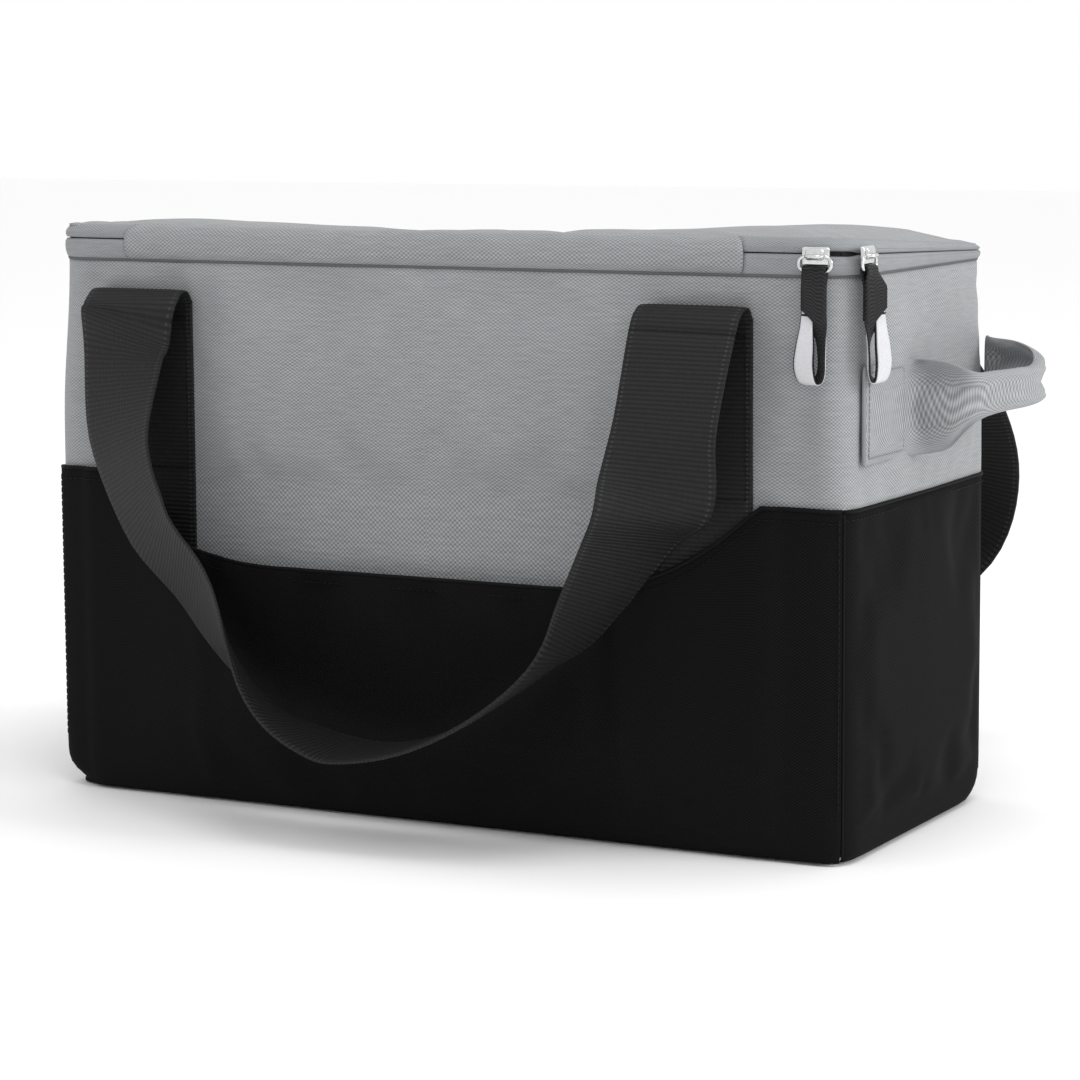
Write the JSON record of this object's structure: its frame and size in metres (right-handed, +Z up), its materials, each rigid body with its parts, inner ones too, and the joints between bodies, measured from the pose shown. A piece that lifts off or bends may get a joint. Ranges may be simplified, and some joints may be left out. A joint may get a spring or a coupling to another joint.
{
  "type": "insulated cooler bag",
  "caption": "Soft rectangular insulated cooler bag with zip lid, open front pocket, webbing carry handles and end grab handles.",
  "frame": {"origin": "centre of the bag's underside, on the surface it stands on", "axes": "+X towards the end with the zip sliders, +Y towards the back, -Y towards the front pocket and the lid's fabric hinge, +Z up"},
  "size_m": [0.487, 0.3895, 0.267],
  "materials": {
    "grey_fabric": "matte woven polyester",
    "black_fabric": "matte woven polyester",
    "webbing": "matte ribbed webbing",
    "foam": "matte foam",
    "liner": "satin foil-coated film",
    "board": "matte",
    "zip_tape": "matte woven tape",
    "zip_coil": "satin",
    "metal": "polished",
    "ribbon": "matte ribbed ribbon"
  },
  "bodies": {
    "bag_body": {"front_panel": "grey_fabric", "back_upper_panel": "grey_fabric", "back_lower_panel": "black_fabric", "left_upper_panel": "grey_fabric", "left_lower_panel": "black_fabric", "right_upper_panel": "grey_fabric", "right_lower_panel": "black_fabric", "base_panel": "black_fabric", "base_board": "board", "base_foam": "foam", "front_foam": "foam", "back_foam": "foam", "left_foam": "foam", "right_foam": "foam", "liner_tub": "liner", "rim_binding": "black_fabric", "zip_tape_lower": "zip_tape", "zip_coil_lower": "zip_coil", "lid_hinge_strip": "grey_fabric", "front_pocket": "black_fabric", "front_handle_left_leg": "webbing", "front_handle_right_leg": "webbing", "back_handle_left_leg": "webbing", "back_handle_right_leg": "webbing", "right_grab_patch": "grey_fabric", "left_grab_patch": "grey_fabric"},
    "lid": {"lid_top_panel": "grey_fabric", "lid_foam": "foam", "lid_liner": "liner", "zip_tape_upper": "zip_tape", "zip_coil_upper": "zip_coil"},
    "zip_slider_a": {"slider_a": "metal"},
    "zip_slider_b": {"slider_b": "metal"},
    "zip_ring_a": {"pull_ring_a": "metal"},
    "zip_ring_b": {"pull_ring_b": "metal"},
    "zip_tab_a": {"pull_tab_a": "ribbon"},
    "zip_tab_b": {"pull_tab_b": "ribbon"},
    "front_handle": {"front_handle_loop": "webbing", "front_handle_left_fold": "webbing", "front_handle_right_fold": "webbing"},
    "back_handle": {"back_handle_loop": "webbing", "back_handle_left_fold": "webbing", "back_handle_right_fold": "webbing"},
    "right_grab": {"right_grab_grip": "grey_fabric", "right_grab_near_wing": "grey_fabric", "right_grab_far_wing": "grey_fabric"},
    "left_grab": {"left_grab_grip": "grey_fabric", "left_grab_near_wing": "grey_fabric", "left_grab_far_wing": "grey_fabric"}
  },
  "joints": [
    {"name": "lid_hinge", "type": "hinge", "parent": "bag_body", "child": "lid", "pos_m": [0, -0.088, 0.262], "axis": [1, 0, 0], "range_deg": [0, 180], "deforming": ["lid_hinge_strip"]},
    {"name": "slider_a_travel", "type": "slide", "parent": "bag_body", "child": "zip_slider_a", "axis": [-1, 0, 0], "range_m": [0, 0.02]},
    {"name": "slider_b_travel", "type": "slide", "parent": "bag_body", "child": "zip_slider_b", "axis": [0, 1, 0], "range_m": [0, 0.036]},
    {"name": "ring_a_sway", "type": "hinge", "parent": "zip_slider_a", "child": "zip_ring_a", "pos_m": [0.188, -0.08645, 0.2586], "axis": [0, -1, 0], "range_deg": [-10, 10]},
    {"name": "ring_b_sway", "type": "hinge", "parent": "zip_slider_b", "child": "zip_ring_b", "pos_m": [0.20545, -0.07, 0.2586], "axis": [-1, 0, 0], "range_deg": [-10, 10]},
    {"name": "tab_a_lift", "type": "hinge", "parent": "zip_ring_a", "child": "zip_tab_a", "pos_m": [0.188, -0.08645, 0.2518], "axis": [1, 0, 0], "range_deg": [-100, 0]},
    {"name": "tab_b_lift", "type": "hinge", "parent": "zip_ring_b", "child": "zip_tab_b", "pos_m": [0.20545, -0.07, 0.2518], "axis": [0, 1, 0], "range_deg": [-100, 0]},
    {"name": "front_handle_lift", "type": "hinge", "parent": "bag_body", "child": "front_handle", "pos_m": [-0.0065, -0.092, 0.232], "axis": [1, 0, 0], "range_deg": [-150, 0], "deforming": ["front_handle_left_fold", "front_handle_right_fold"]},
    {"name": "back_handle_lift", "type": "hinge", "parent": "bag_body", "child": "back_handle", "pos_m": [-0.0065, 0.092, 0.232], "axis": [-1, 0, 0], "range_deg": [-110, 0], "deforming": ["back_handle_left_fold", "back_handle_right_fold"]},
    {"name": "right_grab_lift", "type": "hinge", "parent": "bag_body", "child": "right_grab", "pos_m": [0.2033, 0.012, 0.191], "axis": [0, 1, 0], "range_deg": [-45, 0], "deforming": ["right_grab_near_wing", "right_grab_far_wing"]},
    {"name": "left_grab_lift", "type": "hinge", "parent": "bag_body", "child": "left_grab", "pos_m": [-0.2033, 0.012, 0.191], "axis": [0, -1, 0], "range_deg": [-45, 0], "deforming": ["left_grab_near_wing", "left_grab_far_wing"]}
  ]
}
